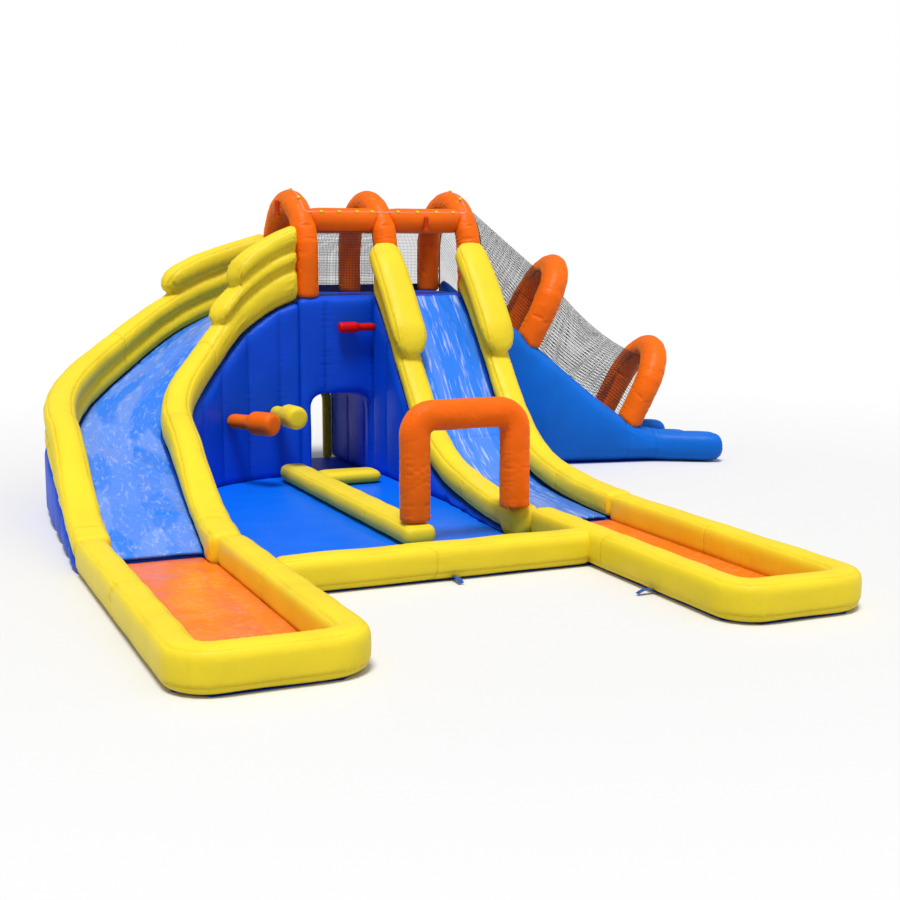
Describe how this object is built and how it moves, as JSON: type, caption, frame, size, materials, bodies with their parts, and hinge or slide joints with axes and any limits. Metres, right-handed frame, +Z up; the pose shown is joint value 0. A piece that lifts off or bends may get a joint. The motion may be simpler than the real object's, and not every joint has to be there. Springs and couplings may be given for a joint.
{
  "type": "inflatable water park",
  "caption": "Inflatable backyard water park: curved and straight slides run from a netted tower into splash pools, with a play court, crawl tunnel, climbing ramp and blower.",
  "frame": {"origin": "on the ground, at the middle of the park's overall box, blower included", "axes": "+Z up; -Y is the front, where the pools end; +X is the side with the straight slide and the climbing ramp"},
  "size_m": [6.3116, 7.2024, 2.478],
  "materials": {
    "black_netting": "matte",
    "blower_metal": "satin",
    "blower_plastic": "matte",
    "blue_fabric": "satin",
    "clear_hose": "glossy",
    "orange_fabric": "satin",
    "orange_floor": "satin",
    "red_fabric": "satin",
    "slick_blue_fabric": "glossy",
    "switch_red": "glossy",
    "yellow_fabric": "satin"
  },
  "bodies": {
    "park": {"blower_handle": "blower_plastic", "blower_housing_left": "blower_plastic", "blower_housing_right": "blower_plastic", "blower_motor": "blower_metal", "blower_stand": "blower_plastic", "court_floor": "blue_fabric", "curved_inner_cheek": "yellow_fabric", "curved_inner_rail": "yellow_fabric", "curved_inner_step": "yellow_fabric", "curved_outer_cheek": "yellow_fabric", "curved_outer_lower": "yellow_fabric", "curved_outer_wall": "yellow_fabric", "curved_slide_body": "blue_fabric", "curved_slide_lane": "slick_blue_fabric", "divider_beam": "yellow_fabric", "doorway_step": "yellow_fabric", "front_bumper": "yellow_fabric", "front_crossbar_left": "orange_fabric", "front_crossbar_right": "orange_fabric", "front_net_left": "black_netting", "gate_arch": "orange_fabric", "ground_sheet": "blue_fabric", "inlet_sleeve": "blue_fabric", "left_nozzle": "orange_fabric", "left_pool_floor": "orange_floor", "left_pool_wall": "yellow_fabric", "ramp_arch_lower": "orange_fabric", "ramp_arch_upper": "orange_fabric", "ramp_body": "blue_fabric", "ramp_landing": "blue_fabric", "ramp_net": "black_netting", "ramp_steps": "yellow_fabric", "ramp_wall_far": "blue_fabric", "ramp_wall_near": "blue_fabric", "rear_crossbar_left": "orange_fabric", "rear_crossbar_right": "orange_fabric", "rear_net_left": "black_netting", "rear_net_right": "black_netting", "right_nozzle": "orange_fabric", "right_pool_floor": "orange_floor", "right_pool_wall": "yellow_fabric", "sprinkler_hose": "clear_hose", "straight_cheek_left": "yellow_fabric", "straight_cheek_right": "yellow_fabric", "straight_rail_left": "yellow_fabric", "straight_rail_right": "yellow_fabric", "straight_slide_body": "blue_fabric", "straight_slide_lane": "slick_blue_fabric", "tower_arch_left": "orange_fabric", "tower_arch_middle": "orange_fabric", "tower_arch_right": "orange_fabric", "tower_baffle": "blue_fabric", "tower_body": "blue_fabric", "tower_deck": "blue_fabric", "tunnel_rim": "yellow_fabric"},
    "orange_peg": {"orange_peg": "orange_fabric"},
    "yellow_peg": {"yellow_peg": "yellow_fabric"},
    "red_peg": {"red_peg": "red_fabric"},
    "impeller": {"blower_impeller": "blower_metal"},
    "switch": {"blower_switch": "switch_red"}
  },
  "joints": [
    {"name": "orange_peg_sway", "type": "hinge", "parent": "park", "child": "orange_peg", "pos_m": [-1.46623, 1.55182, 0.57], "axis": [-0.8453, -0.5344, 0], "range_deg": [-15, 15], "stiffness_Nm_per_rad": 12, "springref_deg": 2.01},
    {"name": "yellow_peg_sway", "type": "hinge", "parent": "park", "child": "yellow_peg", "pos_m": [-1.05941, 1.69588, 0.6], "axis": [-0.9932, -0.1167, 0], "range_deg": [-15, 15], "stiffness_Nm_per_rad": 12, "springref_deg": 2.01},
    {"name": "red_peg_sway", "type": "hinge", "parent": "park", "child": "red_peg", "pos_m": [-0.20877, 1.69853, 1.3], "axis": [0, 1, 0], "range_deg": [-15, 15], "stiffness_Nm_per_rad": 1.2, "springref_deg": 2.29},
    {"name": "impeller_spin", "type": "hinge", "parent": "park", "child": "impeller", "pos_m": [0.36423, 3.44853, 0.215], "axis": [1, 0, 0], "continuous": true},
    {"name": "switch_rock", "type": "hinge", "parent": "park", "child": "switch", "pos_m": [0.23873, 3.44853, 0.292], "axis": [1, 0, 0], "range_deg": [-8, 8]}
  ]
}
